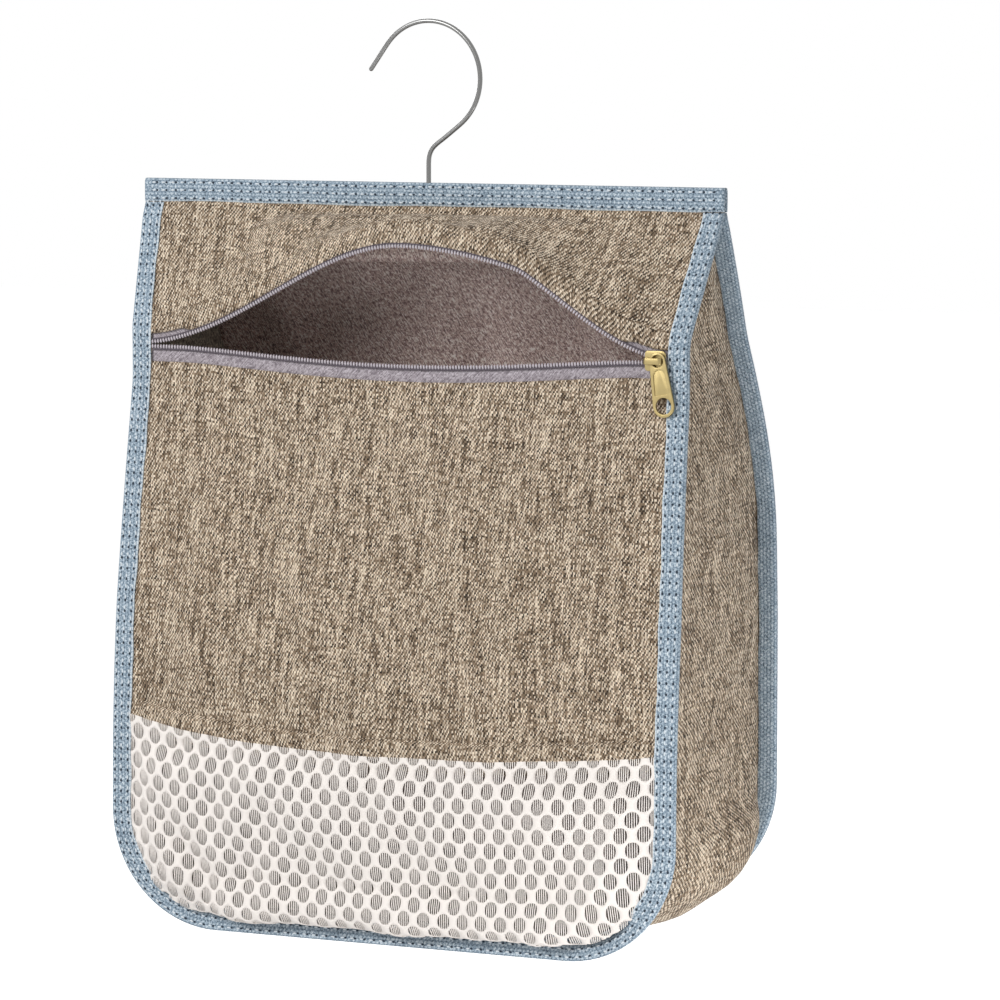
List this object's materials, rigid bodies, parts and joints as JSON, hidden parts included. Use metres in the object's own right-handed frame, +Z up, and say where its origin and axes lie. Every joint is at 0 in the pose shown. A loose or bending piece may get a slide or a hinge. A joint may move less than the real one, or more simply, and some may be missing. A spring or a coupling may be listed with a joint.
{
  "type": "peg bag",
  "caption": "Cloth bag for clothes pegs on a swivelling wire hook, with a slanted zip mouth, bound seams, side gusset and a mesh window at its foot.",
  "frame": {"origin": "inside top of the hook, where the bag hangs on a line", "axes": "+Z up, the front of the bag faces -Y, +X to the right seen from the front"},
  "size_m": [0.3, 0.1281, 0.4257],
  "materials": {
    "cloth": "slubby linen-look weave, taupe",
    "binding": "ribbed blue-grey tape",
    "lining": "fine dull brown-grey weave",
    "mesh": "white open knit",
    "zip_tape": "lilac-grey woven tape",
    "zip_chain": "lilac-grey moulded coil",
    "brass": "pale bright brass",
    "steel": "bright drawn wire",
    "bar_wood": "plain planed beech"
  },
  "bodies": {
    "hook": {"hanger_hook": "steel", "hook_washer": "steel"},
    "bag": {"hanger_bar": "bar_wood", "top_binding": "binding", "front_binding": "binding", "back_binding": "binding", "front_upper_panel": "cloth", "front_lower_panel": "cloth", "mesh_window": "mesh", "back_panel": "cloth", "gusset": "cloth", "back_lining": "lining", "gusset_lining": "lining", "front_lining": "lining", "zip_tape_lower": "zip_tape", "zip_chain_lower": "zip_chain"},
    "lip": {"zip_tape_upper": "zip_tape", "zip_chain_upper": "zip_chain"},
    "slider": {"zip_slider": "brass"},
    "pull": {"zip_pull": "brass"}
  },
  "joints": [
    {"name": "hook_swivel", "type": "hinge", "parent": "hook", "child": "bag", "pos_m": [0, 0, -0.1], "axis": [0, 0, 1], "continuous": true},
    {"name": "zip_slide", "type": "slide", "parent": "bag", "child": "slider", "axis": [-1, 0, 0], "range_m": [0, 0.2535]},
    {"name": "lip_close", "type": "slide", "parent": "bag", "child": "lip", "axis": [0, 0.0899, -0.9959], "range_m": [0, 0.0538], "deforming": ["zip_tape_upper", "zip_chain_upper"]},
    {"name": "pull_swing", "type": "hinge", "parent": "slider", "child": "pull", "pos_m": [0.12975, -0.0292, -0.1504], "axis": [0, 1, 0], "range_deg": [-80, 35]}
  ],
  "couplings": [
    {"joint": "lip_close", "follows": "zip_slide", "ratio": 0.21223}
  ]
}
